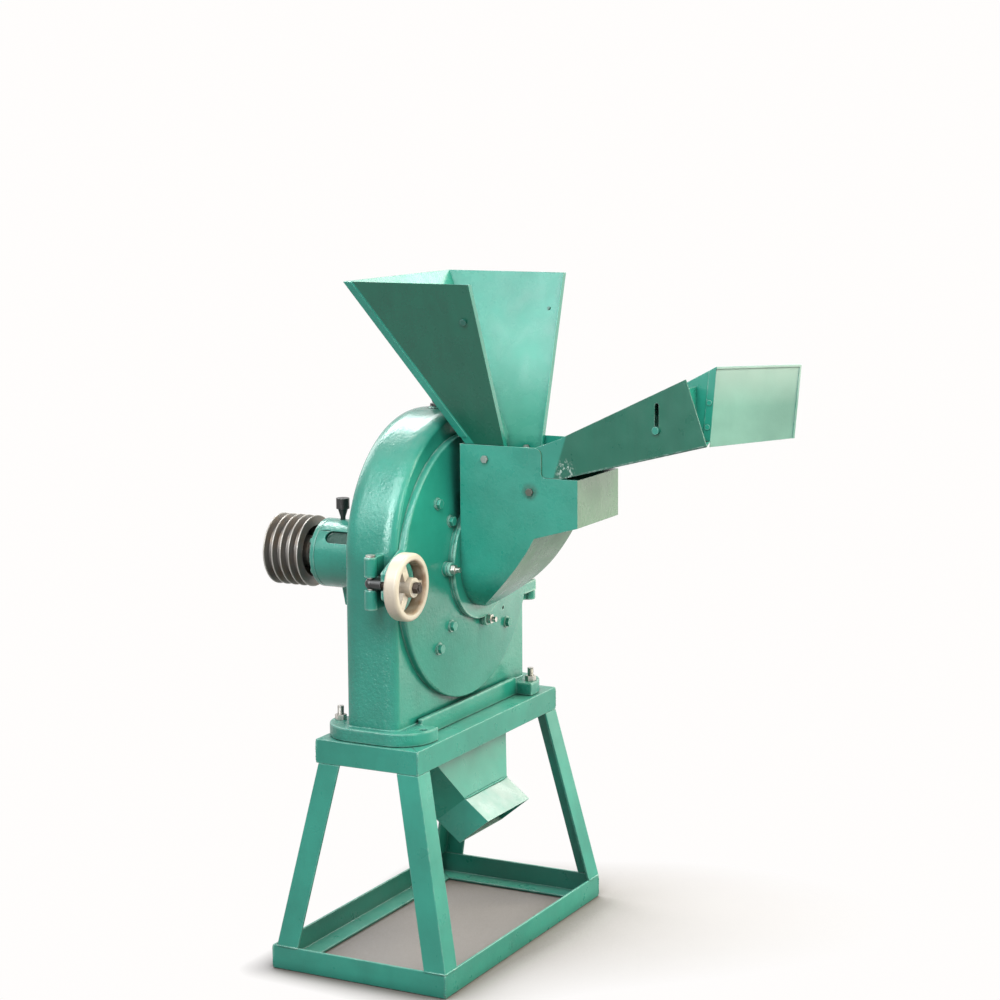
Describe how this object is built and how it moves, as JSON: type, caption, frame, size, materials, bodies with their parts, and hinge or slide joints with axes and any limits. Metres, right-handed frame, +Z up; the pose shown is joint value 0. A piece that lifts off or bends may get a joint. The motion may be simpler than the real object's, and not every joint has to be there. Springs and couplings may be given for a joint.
{
  "type": "flour mill",
  "caption": "Toothed disc flour mill: arched casing on a splayed angle stand, hinged round door with feed box, hopper and side tray, clamp handwheel, grooved belt pulley, bottom spout.",
  "frame": {"origin": "on the floor, under the middle of the stand's base", "axes": "+Z up; the door and tray face -Y; the shaft runs along Y with the pulley at +Y; the handwheel is at -X and the door hinge at +X"},
  "size_m": [0.6785, 1.011, 1.275],
  "materials": {
    "stand_paint": "gloss enamel over welded angle",
    "casing_paint": "gloss enamel over cast iron",
    "sheet_paint": "gloss enamel over sheet steel",
    "fastener_steel": "bare turned steel",
    "painted_fastener": "bolt heads painted over with the casing",
    "bearing_steel": "ground steel",
    "seal_felt": "black seal",
    "rotor_iron": "machined cast iron",
    "tooth_steel": "hard wearing steel",
    "pulley_iron": "turned cast iron",
    "sieve_steel": "perforated sheet",
    "black_steel": "blackened steel",
    "wheel_paint": "cream enamel"
  },
  "bodies": {
    "mill": {"base_rail_front": "stand_paint", "base_rail_back": "stand_paint", "base_rail_left": "stand_paint", "base_rail_right": "stand_paint", "top_rail_front": "stand_paint", "top_rail_back": "stand_paint", "top_rail_left": "stand_paint", "top_rail_right": "stand_paint", "leg_front_left": "stand_paint", "leg_front_right": "stand_paint", "leg_back_left": "stand_paint", "leg_back_right": "stand_paint", "casing": "casing_paint", "anchor_bolts": "fastener_steel", "anchor_nuts": "fastener_steel", "discharge_chute": "sheet_paint", "chute_bolts": "painted_fastener", "bearing_housing": "casing_paint", "housing_bolts": "painted_fastener", "bearing_outer_rings": "bearing_steel", "front_seal": "seal_felt", "rear_cover": "casing_paint", "cover_bolts": "painted_fastener", "grease_cup": "black_steel", "ring_sieve": "sieve_steel", "lifting_eye": "black_steel", "swivel_nut": "black_steel", "swivel_pin": "fastener_steel", "hinge_pins": "fastener_steel"},
    "rotor": {"shaft": "bearing_steel", "bearing_inner_rings": "bearing_steel", "rotor_disc": "rotor_iron", "rotor_pins": "tooth_steel", "rotor_teeth": "tooth_steel", "shaft_keys": "bearing_steel", "rotor_nut": "bearing_steel", "distance_ring": "bearing_steel", "pulley_sleeve": "bearing_steel", "pulley": "pulley_iron", "pulley_washer": "fastener_steel", "pulley_bolt": "fastener_steel"},
    "door": {"door": "casing_paint", "fixed_disc": "rotor_iron", "fixed_teeth": "tooth_steel", "door_bolts": "painted_fastener", "inlet_ring": "casing_paint", "inlet_bolts": "fastener_steel", "feed_box": "sheet_paint", "box_bolts": "fastener_steel", "hopper": "sheet_paint", "hopper_screws": "fastener_steel", "tray": "sheet_paint", "tray_wing": "sheet_paint", "tray_rivets": "fastener_steel"},
    "gate": {"tray_gate": "sheet_paint", "gate_bolt": "fastener_steel"},
    "clamp": {"clamp_washer": "black_steel"},
    "wheel": {"handwheel": "wheel_paint", "clamp_screw": "fastener_steel", "handwheel_nut": "fastener_steel"}
  },
  "joints": [
    {"name": "rotor_spin", "type": "hinge", "parent": "mill", "child": "rotor", "pos_m": [0, 0, 0.732], "axis": [0, 1, 0], "continuous": true},
    {"name": "door_swing", "type": "hinge", "parent": "mill", "child": "door", "pos_m": [0.281, -0.048, 0.732], "axis": [0, 0, 1], "range_deg": [0, 105]},
    {"name": "gate_lift", "type": "slide", "parent": "door", "child": "gate", "axis": [0, 0, 1], "range_m": [0, 0.044]},
    {"name": "clamp_travel", "type": "slide", "parent": "door", "child": "clamp", "axis": [0, -1, 0], "range_m": [0, 0.015]},
    {"name": "handwheel_turn", "type": "hinge", "parent": "clamp", "child": "wheel", "pos_m": [-0.292, -0.094, 0.742], "axis": [0, -1, 0], "range_deg": [0, 2160]}
  ],
  "couplings": [
    {"joint": "clamp_travel", "follows": "handwheel_turn", "m_per_rad": 0.000397}
  ]
}
